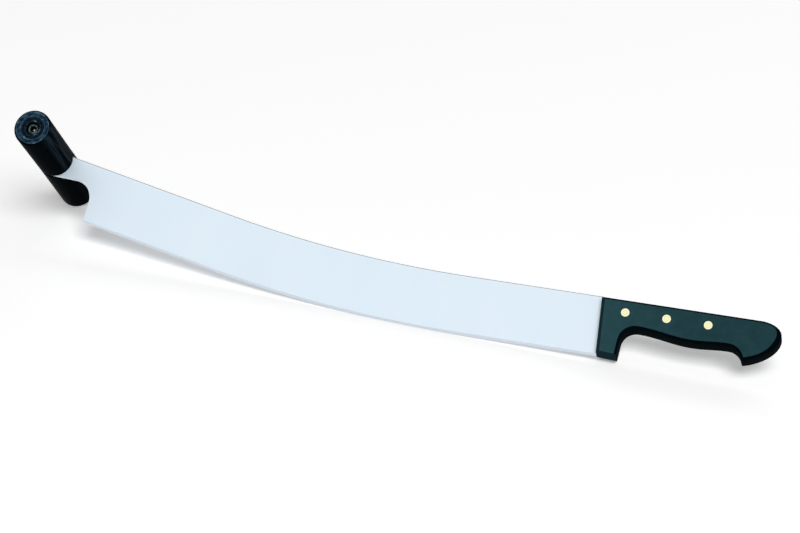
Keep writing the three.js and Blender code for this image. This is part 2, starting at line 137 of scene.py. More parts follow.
def skin(form, rings, materials=None):
    """Closed skin over rings of points; materials gives the material of each strip along them."""
    rows = [[form.verts.new(point) for point in ring] for ring in rings]
    count = len(rows[0])
    for row, after in zip(rows, rows[1:]):
        for column in range(count):
            beside = (column + 1) % count
            face = form.faces.new((row[column], row[beside], after[beside], after[column]))
            face.material_index = materials[column] if materials else 0
    form.faces.new(rows[0])
    form.faces.new(rows[-1])


def prism(form, outline, low, high):
    """An outline pulled along Z."""
    skin(form, [[(point.x, point.y, height) for point in outline] for height in (low, high)])


def make(name, form, place, materials=()):
    """An object from a form in millimetres, set in a place of the table's frame."""
    bmesh.ops.recalc_face_normals(form, faces=form.faces)
    bmesh.ops.scale(form, vec=(mm, mm, mm), verts=form.verts)
    mesh = bpy.data.meshes.new(name)
    form.to_mesh(mesh)
    form.free()
    for material in materials:
        mesh.materials.append(material)
    made = bpy.data.objects.new(name, mesh)
    made.matrix_world = place
    bpy.context.scene.collection.objects.link(made)
    return made


def cut(target, cutter, operation="DIFFERENCE"):
    """Cuts a target by a cutter, which is used up."""
    boolean = target.modifiers.new("cut", "BOOLEAN")
    boolean.operation = operation
    boolean.solver = "EXACT"
    boolean.object = cutter
    whole = target.data
    graph = bpy.context.evaluated_depsgraph_get()
    target.data = bpy.data.meshes.new_from_object(target.evaluated_get(graph))
    target.modifiers.clear()
    bpy.data.meshes.remove(whole)
    bpy.data.objects.remove(cutter)


def settle(piece, node):
    """Smooth shading with crisp edges, and the piece's place in the part. Its own coordinates stay."""
    own = piece.data.attributes.new("own_place", "FLOAT_VECTOR", "POINT")
    own.data.foreach_set("vector", [value for vertex in piece.data.vertices for value in vertex.co])
    piece.data.transform(piece.matrix_world)
    piece.matrix_world = Matrix()
    piece.data.shade_smooth()
    piece.data.set_sharp_from_angle(angle=crisp_angle)
    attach(piece, "root")
    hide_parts(node)


def node(tree, kind, inputs=None, **settings):
    """A shader node with its settings, and values or links for its inputs."""
    made = tree.nodes.new("ShaderNode" + kind)
    for key, value in settings.items():
        setattr(made, key, value)
    for key, value in (inputs or {}).items():
        if isinstance(value, bpy.types.NodeSocket):
            tree.links.new(value, made.inputs[key])
        else:
            made.inputs[key].default_value = value
    return made


def surface(name):
    """A new material, its node tree and its shader."""
    material = bpy.data.materials.new(name)
    material.use_nodes = True
    tree = material.node_tree
    return material, tree, tree.nodes["Principled BSDF"]


def own_place(tree):
    """The piece's own coordinates, in metres."""
    return node(tree, "Attribute", attribute_name="own_place").outputs["Vector"]


def blend(tree, amount, *tones):
    """A colour between two, by an amount. Each of the two is a colour or comes from a node."""
    first, second = (tone if isinstance(tone, bpy.types.NodeSocket) else (*tone, 1) for tone in tones)
    return node(tree, "Mix", {0: amount, 6: first, 7: second}, data_type="RGBA").outputs[2]


def spread(tree, value, low, high, start=0.0, end=1.0):
    """A value stretched from start..end to low..high."""
    return node(tree, "MapRange", {0: value, 1: start, 2: end, 3: low, 4: high}).outputs[0]


# Ground metal has fine lines of uneven depth, over a slow drift of tone where hands and cloths went
ground = bpy.data.node_groups.new("ground_metal", "ShaderNodeTree")
ground.interface.new_socket("Vector", in_out="INPUT", socket_type="NodeSocketVector")
ground.interface.new_socket("Lines", in_out="OUTPUT", socket_type="NodeSocketFloat")
ground.interface.new_socket("Drift", in_out="OUTPUT", socket_type="NodeSocketFloat")
ground_in = ground.nodes.new("NodeGroupInput").outputs[0]
fine_lines = node(ground, "TexNoise", {"Vector": ground_in, "Scale": 1.0, "Detail": 3.0, "Roughness": 0.7})
slow_place = node(ground, "Mapping", {"Vector": ground_in, "Scale": (0.012, 0.25, 1.0)}).outputs[0]
slow_drift = node(ground, "TexNoise", {"Vector": slow_place, "Scale": 1.0, "Detail": 2.0})
ground_out = ground.nodes.new("NodeGroupOutput")
ground.links.new(fine_lines.outputs[0], ground_out.inputs["Lines"])
ground.links.new(slow_drift.outputs[0], ground_out.inputs["Drift"])


def ground_metal(name, line_scale, roughness, relief=0.0, line_turn=0.0):
    """A metal that is rougher and finely raised along grinding lines. Its marks go on to its tone."""
    material, tree, shader = surface(name)
    way = {"Vector": own_place(tree), "Rotation": (0, 0, line_turn), "Scale": line_scale}
    line_place = node(tree, "Mapping", way).outputs[0]
    marks = node(tree, "Group", {"Vector": line_place}, node_tree=ground)
    lines = marks.outputs["Lines"]
    tree.links.new(spread(tree, lines, *roughness), shader.inputs["Roughness"])
    if relief:
        bump = node(tree, "Bump", {"Strength": relief, "Distance": line_depth * mm, "Height": lines})
        tree.links.new(bump.outputs[0], shader.inputs["Normal"])
    shader.inputs["Metallic"].default_value = 1.0
    return material, tree, shader, marks


blade_steel, tree, shader, marks = ground_metal(
    "blade_steel", line_scale=(2600, 60, 60), roughness=(0.42, 0.52), relief=0.12)
tree.links.new(blend(tree, marks.outputs["Drift"], *face_tones), shader.inputs["Base Color"])
shader.inputs["Metallic"].default_value = face_metal_share
# The ground edge is painted darker than the faces, as painted shade along the edge; its finer, smoother
# lines are its own.
edge_shaded_steel, tree, shader, marks = ground_metal(
    "edge_shaded_steel", line_scale=(5200, 180, 60), roughness=(0.16, 0.34), relief=0.25)
tree.links.new(blend(tree, marks.outputs["Lines"], *edge_shade_tones), shader.inputs["Base Color"])
# The back, its rounded corners and the tang's back are painted darker, as painted shade, over their own
# lengthwise lines.
back_shaded_steel, tree, shader, marks = ground_metal(
    "back_shaded_steel", line_scale=(300, 4200, 4200), roughness=(0.34, 0.5))
tree.links.new(blend(tree, marks.outputs["Lines"], *back_shade_tones), shader.inputs["Base Color"])
on_blade_edge, on_blade_back = 1, 2

half = blade_thickness / 2
back_centre = Vector((back_round, half - back_round))
back_corner = arc(back_centre, back_round, math.pi, math.pi / 2, back_round_steps)
near_profile = [*back_corner, Vector((blade_width - edge_bevel, half)), Vector((blade_width, edge_land / 2))]
profile = near_profile + [Vector((point.x, -point.y)) for point in reversed(near_profile)]
far_corner = len(profile) - len(back_corner)
strips = [0] * len(profile)
for column in range(len(back_corner), far_corner - 1):
    strips[column] = on_blade_edge
for column in [*range(len(back_corner) - 1), *range(far_corner, len(profile))]:
    strips[column] = on_blade_back
heel = [(point.x * math.tan(guard_rake) - heel_gap, -point.x, point.y) for point in profile]
tip_run = tip_straight + 2 * eye_radius
runs = [heel_straight * step / straight_steps for step in range(1, straight_steps + 1)]
runs += [heel_straight + sweep_length * step / sweep_steps for step in range(1, sweep_steps + 1)]
runs += [sweep_end + tip_run * step / straight_steps for step in range(1, straight_steps + 1)]
form = bmesh.new()
skin(form, [heel] + [[(*blade_place(run, point.x), point.y) for point in profile] for run in runs], strips)
tang_low = handle_back - tang_height
tang_corner = Vector((tang_length - tang_end_radius, tang_low + tang_end_radius))
tang_end = arc(tang_corner, tang_end_radius, -math.pi / 2, 0, tang_end_steps)
tang = [Vector((tang_start, handle_back)), Vector((tang_start - tang_low * math.tan(guard_rake), tang_low))]
tang += tang_end + [Vector((tang_length, handle_back))]
prism(form, tang, -half, half)
blade = make("blade_ground", form, knife, (blade_steel, edge_shaded_steel, back_shaded_steel))

grip_axis = blade_place(grip_run, grip_axis_depth)
nose = blade_place(grip_run - nose_setback, blade_width)
notch = blade_place(grip_run - notch_setback, grip_axis_depth + notch_drop)
from_notch = nose - notch
nose_angle = math.atan2(from_notch.y, from_notch.x) + math.acos(notch_radius / from_notch.length)
to_notch = notch - grip_axis
tongue_turn = math.acos((eye_radius + notch_radius) / to_notch.length)
tongue_angle = math.atan2(to_notch.y, to_notch.x) - tongue_turn
eye_top = blade_place(grip_run + math.sqrt(eye_radius ** 2 - grip_axis_depth ** 2), 0)
top_angle = math.atan2(*(eye_top - grip_axis).yx)
notch_sweep = (tongue_angle + math.pi - nose_angle) % (2 * math.pi)
eye_sweep = (tongue_angle - top_angle) % (2 * math.pi)
nose_line = (nose - notch - notch_radius * Vector((math.cos(nose_angle), math.sin(nose_angle)))).normalized()
outline = [nose + blade_width * nose_line]
outline += arc(notch, notch_radius, nose_angle, nose_angle + notch_sweep, tip_steps)
outline += arc(grip_axis, eye_radius, tongue_angle, tongue_angle - eye_sweep, tip_steps)
outline += [blade_place(grip_run + reach, -tip_cut_rise) for reach in (tip_cut_lead, tip_cut_reach)]
outline += [blade_place(grip_run + tip_cut_reach, tip_cut_depth)]
form = bmesh.new()
prism(form, outline, -blade_thickness, blade_thickness)
cut(blade, make("tip_cut", form, knife))
for face in blade.data.polygons:
    if face.normal.y > square_facing and face.center.x > 0:
        face.material_index = on_blade_back
settle(blade, "blade")


# Handle scales: two mirrored mouldings of black plastic with a guard in front, a finger recess, a
# belly, a hook and a rounded butt. They clasp the tang and meet below and behind it. Their faces lie
# flush with the rivets. Their rounded edges and sides are painted near black as painted shade, and the
# guard's slopes, its foot and the back a less dark painted shade; all are painted paler towards the
# guard, a painted light falloff.
handle_half = 8.7
parting_gap = 0.05
face_round = 2.2
face_round_steps = 6
face_edge_drop = 0.09
hook_tip_round = 1.0
hook_tip_least = 0.05
hook_tip_steps = 6
mitre_limit = 0.3
guard_depth = 44.49
guard_foot = 17.7
guard_spare = 8
foot_draft = math.radians(3)
front_slope = 2.5
front_land = 5.4
foot_slope = 1.8
slope_round = 0.3
slope_round_steps = 3
slope_start = -3
slope_spare = 5
slope_length = 60
slope_facing = 0.5
recess_radius = 10.8
recess_reach = 29.2
recess_steps = 24
neck_depth = 22
neck_lead = 13.5
belly_depth = 25.9
belly_reach = 68
belly_lead = 10.5
belly_steps = 24
hook_neck_depth = 24.3
hook_neck_steps = 18
hook_radius = 10.9
hook_reach = 94.3
hook_end = math.radians(22)
hook_steps = 20
hook_lip = 2.3
handle_length = 129.99
butt_depth = 11.3
butt_round = 16
butt_rise = math.radians(15)
butt_low_lead = 11.5
butt_high_lead = 10.8
butt_steps = 30
butt_top_steps = 24
butt_ease = 1.1
butt_ease_reach = 108, 124
butt_ease_rise = -30, -16
butt_ease_fall = -3.5, -10
back_reaches = 111, 108, 105
front_reach = 10
foot_level = -40
back_level = -10
cutter_reach = 20
pocket_clearance = 0.02
rivet_reaches = {"front": 18.8, "middle": 48.5, "rear": 78.2}
rivet_depth = 11.8
rivet_head_radius = 3.15
rivet_head_height = 1.8
rivet_sides = 64
seat_clearance = 0.06
seat_spare = 0.1
# The face tone is the plastic's own; the side and slope tones are copies of it darkened as painted shade.
scale_tones = {
    "scale_plastic": ((0.0125, 0.040, 0.048), (0.026, 0.075, 0.086)),
    "scale_side_painted_shade": ((0.0006, 0.0022, 0.0030), (0.0014, 0.0046, 0.0060)),
    "scale_slope_painted_shade": ((0.006, 0.019, 0.024), (0.012, 0.035, 0.044)),
}
scuff_limits = 0.64, 0.8
drift_limits = 0.28, 0.72
pale_drift = 0.05, 0.40
guard_light_share = 0.45
guard_light_length = 70
scale_roughness = 0.46, 0.58
scuff_polish = 0.10
grain_relief = 0.25
grain_depth = 0.03
black_gloss = 0.0012


def bezier(first, leave, arrive, last, steps):
    """Points of a curve that leaves its first point and arrives at its last by two handles."""
    points = []
    for step in range(steps + 1):
        t = step / steps
        near, far = first.lerp(leave, t).lerp(leave.lerp(arrive, t), t), arrive.lerp(last, t)
        points.append(near.lerp(leave.lerp(arrive, t).lerp(far, t), t))
    return points


def eased(before, tip, after, radius, steps):
    """A corner rounded by an arc."""
    back, ahead = (before - tip).normalized(), (after - tip).normalized()
    half_angle = math.acos(max(-1, min(1, back.dot(ahead)))) / 2
    centre = tip + (back + ahead).normalized() * radius / math.sin(half_angle)
    first = tip + back * radius / math.tan(half_angle) - centre
    swept = first.angle_signed(tip + ahead * radius / math.tan(half_angle) - centre)
    start = math.atan2(first.y, first.x)
    return arc(centre, radius, start, start - swept, steps)


def inset(outline, depths):
    """An outline moved inwards by a depth at each point; it runs anticlockwise."""
    moved = []
    befores, afters = outline[-1:] + outline[:-1], outline[1:] + outline[:1]
    for before, at, after, depth in zip(befores, outline, afters, depths):
        into, out = (at - before).normalized(), (after - at).normalized()
        left = Vector((-into.y - out.y, into.x + out.x)).normalized()
        moved.append(at + left * depth / max(left.dot(Vector((-into.y, into.x))), mitre_limit))
    return moved


def ramp(value, start, end):
    """A smooth rise from 0 at start to 1 at end."""
    part = min(max((value - start) / (end - start), 0), 1)
    return part * part * (3 - 2 * part)


guard_corner = Vector((guard_depth * math.tan(guard_rake), -guard_depth))
guard_heel = Vector((guard_foot, -guard_depth - (guard_foot - guard_corner.x) * math.tan(foot_draft)))
recess_centre = Vector((recess_reach, -neck_depth - recess_radius))
recess = arc(recess_centre, recess_radius, math.pi, math.pi / 2, recess_steps)
belly = Vector((belly_reach, -belly_depth))
to_belly, past_belly = Vector((neck_lead, 0)), Vector((belly_lead, 0))
hook_centre = Vector((hook_reach, -hook_neck_depth - hook_radius))
hook = arc(hook_centre, hook_radius, math.pi / 2, hook_end, hook_steps)
hook_tip = hook[-1] + hook_lip * Vector((math.sin(hook_end), -math.cos(hook_end)))
butt = Vector((handle_length, -butt_depth))
butt_leave = hook_tip + butt_low_lead * Vector((math.cos(butt_rise), math.sin(butt_rise)))
butt_arrive = butt - Vector((0, butt_high_lead))
butt_height = butt_depth + handle_back
handle = [guard_corner - Vector((guard_spare, guard_spare))]
handle += [guard_heel + guard_spare * (guard_heel - recess[0]).normalized()]
handle += recess + bezier(recess[-1], recess[-1] + to_belly, belly - to_belly, belly, belly_steps)[1:]
handle += bezier(belly, belly + past_belly, hook[0] - past_belly, hook[0], hook_neck_steps)[1:-1] + hook
tip_index = len(handle)
handle += [hook_tip] + bezier(hook_tip, butt_leave, butt_arrive, butt, butt_steps)[2:-1]
for point in arc(Vector((0, 0)), 1, 0, math.pi / 2, butt_top_steps):
    handle.append(butt + Vector(((point.x - 1) * butt_round, point.y * butt_height)))
handle += [Vector((reach, handle_back)) for reach in (*back_reaches, -guard_spare)]
eases = []
for point in handle:
    at_height = ramp(point.y, *butt_ease_rise) * ramp(point.y, *butt_ease_fall)
    eases.append(1 + butt_ease * ramp(point.x, *butt_ease_reach) * at_height)


def handle_ring(depth, height):
    """The handle's outline moved inwards by a depth at a height, with the tip of its hook rounded."""
    moved = inset(handle, [depth * ease for ease in eases])
    before, tip, after = moved[tip_index - 1:tip_index + 2]
    tip_round = max(hook_tip_round - depth, hook_tip_least)
    moved[tip_index:tip_index + 1] = eased(before, tip, after, tip_round, hook_tip_steps)
    return [(point.x, point.y, height) for point in moved]


def slope_cut(inward, side, section):
    """A long cutter along one edge of the guard; its section runs inwards and up from the middle plane."""
    form = bmesh.new()
    prism(form, [Vector((point.x, side * point.y)) for point in section], -slope_length, slope_length)
    axes = Matrix((inward, Vector((0, 0, 1)), inward.cross(Vector((0, 0, 1))))).transposed()
    return make("slope", form, knife @ Matrix.Translation(guard_corner.to_3d() * mm) @ axes.to_4x4())


def share(tree, value, start, end):
    """A mask that goes from 0 at start to 1 at end."""
    return spread(tree, value, 0, 1, start, end)


def reckon(tree, operation, first, second=0.0, **settings):
    """A sum, a product or another reckoning with one or two values."""
    return node(tree, "Math", {0: first, 1: second}, operation=operation, **settings).outputs[0]


# Moulded plastic has a fine grain, a few long scuffs and a slow drift of tone
moulded = bpy.data.node_groups.new("moulded_skin", "ShaderNodeTree")
moulded.interface.new_socket("Vector", in_out="INPUT", socket_type="NodeSocketVector")
moulded.interface.new_socket("Grain", in_out="OUTPUT", socket_type="NodeSocketFloat")
moulded.interface.new_socket("Scuffs", in_out="OUTPUT", socket_type="NodeSocketFloat")
moulded.interface.new_socket("Drift", in_out="OUTPUT", socket_type="NodeSocketFloat")
moulded_in = moulded.nodes.new("NodeGroupInput").outputs[0]
grain = node(moulded, "TexNoise", {"Vector": moulded_in, "Scale": 1500, "Detail": 3.0, "Roughness": 0.6})
scuff_way = {"Vector": moulded_in, "Rotation": (0, 0, 0.5), "Scale": (60, 900, 60)}
scuff_place = node(moulded, "Mapping", scuff_way).outputs[0]
scuff = node(moulded, "TexNoise", {"Vector": scuff_place, "Scale": 1.0, "Detail": 2.0})
drift = node(moulded, "TexNoise", {"Vector": moulded_in, "Scale": 130, "Detail": 4.0, "Roughness": 0.55})
moulded_out = moulded.nodes.new("NodeGroupOutput")
moulded.links.new(grain.outputs[0], moulded_out.inputs["Grain"])
moulded.links.new(share(moulded, scuff.outputs[0], *scuff_limits), moulded_out.inputs["Scuffs"])
moulded.links.new(share(moulded, drift.outputs[0], *drift_limits), moulded_out.inputs["Drift"])

scale_plastics = []
for name, tones in scale_tones.items():
    material, tree, shader = surface(name)
    own = own_place(tree)
    skin_marks = node(tree, "Group", {"Vector": own}, node_tree=moulded)
    reach = node(tree, "SeparateXYZ", {0: own}).outputs[0]
    # Painted light falloff: each copy is painted paler at the guard, fading out towards the butt.
    guard_light = spread(tree, reach, guard_light_share, 0, 0, guard_light_length * mm)
    pale = reckon(tree, "ADD", spread(tree, skin_marks.outputs["Drift"], *pale_drift), guard_light)
    tree.links.new(blend(tree, pale, *tones), shader.inputs["Base Color"])
    dull = spread(tree, skin_marks.outputs["Drift"], *scale_roughness)
    worn = reckon(tree, "MULTIPLY", skin_marks.outputs["Scuffs"], scuff_polish)
    tree.links.new(reckon(tree, "SUBTRACT", dull, worn), shader.inputs["Roughness"])
    raised = {"Strength": grain_relief, "Distance": grain_depth * mm, "Height": skin_marks.outputs["Grain"]}
    tree.links.new(node(tree, "Bump", raised).outputs[0], shader.inputs["Normal"])
    shader.inputs["Specular IOR Level"].default_value = black_gloss
    scale_plastics.append(material)
on_face, on_shaded_side, on_shaded_slope = range(len(scale_plastics))

front_foot = Vector((0, half + front_land))
front_edge = Vector((front_slope, handle_half))
foot_edge = Vector((foot_slope, handle_half))
past_edge = Vector((slope_spare, 0))
front_section = [Vector((-cutter_reach, slope_start)), Vector((0, slope_start)), front_foot]
front_section += eased(front_foot, front_edge, front_edge + past_edge, slope_round, slope_round_steps)
foot_section = [Vector((-cutter_reach, slope_start)), foot_edge * slope_start / handle_half]
foot_section += eased(Vector((0, 0)), foot_edge, foot_edge + past_edge, slope_round, slope_round_steps)
guard_slopes = (
    (Vector((math.cos(guard_rake), math.sin(guard_rake), 0)), front_section),
    (Vector((math.sin(foot_draft), math.cos(foot_draft), 0)), foot_section),
)
pocket = [Vector((-cutter_reach, cutter_reach)), Vector((-cutter_reach, tang_low))]
pocket += tang_end + [Vector((tang_length, cutter_reach))]
seat_radius = rivet_head_radius + seat_clearance
seat_floor = handle_half - rivet_head_height - seat_spare
for name, side in (("near", 1), ("far", -1)):
    rings = [handle_ring(0, side * parting_gap)]
    for step in range(face_round_steps + 1):
        angle = math.pi / 2 * step / face_round_steps
        height = side * (handle_half - face_round * (1 - math.sin(angle)))
        rings.append(handle_ring(face_round * (1 - math.cos(angle)), height))
    form = bmesh.new()
    skin(form, rings)
    scale = make(f"scale_{name}", form, knife, scale_plastics)
    for inward, section in guard_slopes:
        over = [section[-1] + Vector((0, slope_spare)), Vector((-cutter_reach, handle_half + slope_spare))]
        cut(scale, slope_cut(inward, side, section + over))
    form = bmesh.new()
    prism(form, pocket, -half - pocket_clearance, half + pocket_clearance)
    cut(scale, make("tang_pocket", form, knife))
    form = bmesh.new()
    for reach in rivet_reaches.values():
        hole = arc(Vector((reach, -rivet_depth)), seat_radius, 0, 2 * math.pi, rivet_sides)[:-1]
        prism(form, hole, side * seat_floor, side * 2 * handle_half)
    cut(scale, make("rivet_seats", form, knife))
    # Painted shade by facing: rounded edges and sides take the near-black copy, and the guard's slopes, its
    # foot and the back the less dark one; only the flat faces keep the plain tone.
    for face in scale.data.polygons:
        facing, middle = face.normal, face.center / mm
        lowest = min(side * scale.data.vertices[corner].co.z for corner in face.vertices) / mm
        to_front = facing.x < -slope_facing and middle.x < front_reach
        to_foot = facing.y < -square_facing and middle.y < foot_level
        to_back = facing.y > square_facing and middle.y > back_level
        face.material_index = on_shaded_slope if to_front or to_foot or to_back else on_shaded_side
        if lowest > handle_half - face_edge_drop:
            face.material_index = on_face
    settle(scale, f"handle_scale_{name}")


# Rivets: cutler's rivets of pale brass, ground flush. The near head belongs to the barrel and the far
# head to the pin, and each face keeps the fine ring that its tool left.
barrel_radius = 2.1
bore_radius = 1.4
pin_radius = 1.1
barrel_end = -3.9
pin_end = 5.4
head_stand = 0.02
head_chamfer = 0.15
ring_radius = 1.8
ring_width = 0.16
ring_groove = 0.05
outer_tones = (0.97, 0.96, 0.50), (1.0, 1.0, 0.76)
inner_tones = (0.91, 0.87, 0.55), (1.0, 1.0, 0.74)
inner_edge = 1.7, 1.5
ring_tone = (0.66, 0.56, 0.26)
ring_edge = 0.3, 0.1
ring_strength = 0.5


def lathe(form, profile, sides):
    """A profile of (radius, height) points turned about Z; it starts and ends on the axis or closes."""
    on_axis = profile[0][0] == 0
    rings = profile if not on_axis else profile[1:-1]
    rows = []
    for radius, height in rings:
        angles = (2 * math.pi * side / sides for side in range(sides))
        rows.append([form.verts.new((radius * math.cos(a), radius * math.sin(a), height)) for a in angles])
    pairs = list(zip(rows, rows[1:])) + ([] if on_axis else [(rows[-1], rows[0])])
    for row, after in pairs:
        for column in range(sides):
            beside = (column + 1) % sides
            form.faces.new((row[column], row[beside], after[beside], after[column]))
    if on_axis:
        for row, (radius, height) in ((rows[0], profile[0]), (rows[-1], profile[-1])):
            middle = form.verts.new((0, 0, height))
            for column in range(sides):
                form.faces.new((row[column], row[(column + 1) % sides], middle))


def from_axis(tree):
    """How far a place lies from a turned piece's axis."""
    across = node(tree, "VectorMath", {0: own_place(tree), 1: (1, 1, 0)}, operation="MULTIPLY").outputs[0]
    return node(tree, "VectorMath", {0: across}, operation="LENGTH").outputs["Value"]


def from_circle(tree, circle):
    """How far a place lies from a circle round the axis, whose radius is in millimetres."""
    return reckon(tree, "ABSOLUTE", reckon(tree, "SUBTRACT", from_axis(tree), circle * mm))


def band(tree, value, start, end):
    """A mask that goes from 0 at start to 1 at end, both in millimetres."""
    return share(tree, value, start * mm, end * mm)


brass, tree, shader, marks = ground_metal(
    "rivet_brass", line_scale=(4200, 240, 60), roughness=(0.22, 0.42), relief=0.2, line_turn=0.6)
outer = blend(tree, marks.outputs["Lines"], *outer_tones)
inner = blend(tree, marks.outputs["Lines"], *inner_tones)
tone = blend(tree, band(tree, from_axis(tree), *inner_edge), outer, inner)
on_ring = reckon(tree, "MULTIPLY", band(tree, from_circle(tree, ring_radius), *ring_edge), ring_strength)
tree.links.new(blend(tree, on_ring, tone, ring_tone), shader.inputs["Base Color"])

head_face = handle_half + head_stand
head_seat = handle_half - rivet_head_height
head = [
    (rivet_head_radius, head_seat),
    (rivet_head_radius, head_face - head_chamfer),
    (rivet_head_radius - head_chamfer, head_face),
    (ring_radius + ring_width, head_face),
    (ring_radius, head_face - ring_groove),
    (ring_radius - ring_width, head_face),
    (0, head_face),
]
for name, reach in rivet_reaches.items():
    place = knife @ Matrix.Translation(Vector((reach, -rivet_depth, 0)) * mm)
    form = bmesh.new()
    bore = [(0, head_seat), (bore_radius, head_seat), (bore_radius, barrel_end)]
    lathe(form, bore + [(barrel_radius, barrel_end), (barrel_radius, head_seat)] + head, rivet_sides)
    barrel = make(f"rivet_{name}_near", form, place, (brass,))
    settle(barrel, f"rivet_{name}_barrel")
    form = bmesh.new()
    shank = [(0, pin_end), (pin_radius, pin_end), (pin_radius, -head_seat)]
    lathe(form, shank + [(radius, -height) for radius, height in head], rivet_sides)
    pin = make(f"rivet_{name}_far", form, place, (brass,))
    settle(pin, f"rivet_{name}_pin")


# Cross grip: two turned halves of black plastic on either side of the tongue, a little thicker at
# their outer ends. Each end is dished, with rings from the turning tool; the near one is bored for
# the screw's head and the far one has a six-sided seat for the nut.
grip_foot = 1.3
grip_end = 63.55
foot_radius = 13.67
end_radius = 13.97
grip_sides = 128
rim_round = 1.3
rim_steps = 6
foot_chamfer = 0.4
dish_radius = 9.1
dish_depth = 0.9
head_bore_radius = 4.95
head_bore_depth = 8
bore_chamfer = 0.2
screw_hole_radius = 2.8
nut_seat_width = 8.6
nut_seat_depth = 7
cutter_over = 1
ring_depth = 0.07
ring_half = 0.16
outer_rings = (12.1, 11.4, 10.6, 9.9)
dish_rings = (7.6, 6.9, 6.1)
side_tones = (0.0008, 0.0018, 0.0026), (0.0016, 0.0034, 0.0048)
side_roughness = 0.26, 0.36
streak_scale = (260, 260, 14)
reflection_streak_tone = (0.014, 0.032, 0.047)
reflection_streak_angle = math.radians(-14)
reflection_streak_edge = 11.8, 13.7
reflection_streak_limits = 0.46, 0.66
streak_coat = 0.06
streak_coat_roughness = 0.12
back_sheen_tone = (0.016, 0.026, 0.032)
back_sheen_angle = math.radians(125)
back_sheen_edge = 1, 12
back_sheen_least = 0.5
cloud_limits = 0.36, 0.64
ring_limits = 0.38, 0.62
rim_reflection_tones = (0.004, 0.014, 0.028), (0.040, 0.086, 0.134)
dish_shade_edge = 8.2, 9.4
rim_ring_share = 0.45
rim_limits = 0.15, 0.85
dish_shade_tones = (0.001, 0.003, 0.006), (0.014, 0.031, 0.048)
dish_ring_least = 0.4
end_glint_tone = (0.12, 0.20, 0.25)
end_glint_limits = 0.7, 0.95
end_level = 62.2, 62.6
end_edge = 12.8, 12.5
end_roughness = 0.40, 0.56
tool_relief = 0.2
tool_depth = 0.03


def hexagon(width):
    """A six-sided outline, measured across its flats."""
    return arc(Vector((0, 0)), width / math.sqrt(3), 0, 2 * math.pi, 6)[:-1]


def along_axis(tree):
    """How far up a turned piece's axis a place lies."""
    return node(tree, "SeparateXYZ", {0: own_place(tree)}).outputs[2]


def towards(tree, angle):
    """How far out from the axis a place lies towards an angle."""
    way = (math.cos(angle), math.sin(angle), 0)
    return node(tree, "VectorMath", {0: own_place(tree), 1: way}, operation="DOT_PRODUCT").outputs["Value"]


def clouds(tree, place, scale, detail, limits=cloud_limits, **settings):
    """Uneven patches, from 0 to 1 between the limits of a noise."""
    noise = node(tree, "TexNoise", {"Vector": place, "Scale": scale, "Detail": detail}, **settings)
    return share(tree, noise.outputs[0], *limits)


# Along its sides a painted reflection lies in streaks on the right, with a faint real coat over it,
# and a paler painted sheen lies in streaks at the back
grip_plastic, tree, shader = surface("grip_plastic")
own = own_place(tree)
skin_marks = node(tree, "Group", {"Vector": own}, node_tree=moulded)
streak_place = node(tree, "Mapping", {"Vector": own, "Scale": streak_scale}).outputs[0]
reflection_streaks = clouds(tree, streak_place, scale=1.0, detail=3.0, limits=reflection_streak_limits)
reflection_streak = reckon(tree, "MULTIPLY", reflection_streaks, band(tree, towards(tree, reflection_streak_angle), *reflection_streak_edge))
# Painted sheen: one side at the back is painted paler in streaks, to show the grip's roundness.
back_sheen_streaks = spread(tree, clouds(tree, streak_place, scale=1.0, detail=3.0), back_sheen_least, 1)
back_sheen = reckon(tree, "MULTIPLY", back_sheen_streaks, band(tree, towards(tree, back_sheen_angle), *back_sheen_edge))
side_tone = blend(tree, skin_marks.outputs["Drift"], *side_tones)
side_tone = blend(tree, reflection_streak, side_tone, reflection_streak_tone)
side_tone = blend(tree, back_sheen, side_tone, back_sheen_tone)
side_dull = spread(tree, skin_marks.outputs["Drift"], *side_roughness)
# The faint coat of real gloss lies only on the painted reflection streaks.
tree.links.new(reckon(tree, "MULTIPLY", reflection_streak, streak_coat), shader.inputs["Coat Weight"])
shader.inputs["Coat Roughness"].default_value = streak_coat_roughness
shader.inputs["Specular IOR Level"].default_value = black_gloss

# On its ends the turning tool has left rings. Over them the rim is painted pale blue as a painted
# reflection and the dish darker as painted shade, with pale painted glints where rings and patches meet
radius = from_axis(tree)
height = reckon(tree, "ABSOLUTE", along_axis(tree))
tool_place = node(tree, "CombineXYZ", {0: radius, 1: height}).outputs[0]
tool_marks = {"Vector": tool_place, "Scale": 3200, "Detail": 2.0}
tool_lines = node(tree, "TexNoise", tool_marks, noise_dimensions="2D").outputs[0]
rings = clouds(tree, tool_place, scale=800, detail=1.0, limits=ring_limits, noise_dimensions="2D")
patches = clouds(tree, own, scale=300, detail=3.0)
specks = clouds(tree, own, scale=900, detail=1.0)
rim_marks = node(tree, "Mix", {0: rim_ring_share, 2: patches, 3: rings}).outputs[0]
rim_reflection_tone = blend(tree, share(tree, rim_marks, *rim_limits), *rim_reflection_tones)
dish_marks = reckon(tree, "MULTIPLY", specks, spread(tree, rings, dish_ring_least, 1))
dish_shade_tone = blend(tree, dish_marks, *dish_shade_tones)
end_painted_tone = blend(tree, band(tree, radius, *dish_shade_edge), dish_shade_tone, rim_reflection_tone)
end_glints = share(tree, reckon(tree, "MULTIPLY", patches, rings), *end_glint_limits)
end_painted_tone = blend(tree, end_glints, end_painted_tone, end_glint_tone)
end_dull = spread(tree, tool_lines, *end_roughness)
on_end = reckon(tree, "MULTIPLY", band(tree, height, *end_level), band(tree, radius, *end_edge))
tree.links.new(blend(tree, on_end, side_tone, end_painted_tone), shader.inputs["Base Color"])
dull = node(tree, "Mix", {0: on_end, 2: side_dull, 3: end_dull}).outputs[0]
tree.links.new(dull, shader.inputs["Roughness"])
raised = {"Strength": tool_relief, "Distance": tool_depth * mm, "Height": tool_lines}
tree.links.new(node(tree, "Bump", raised).outputs[0], shader.inputs["Normal"])

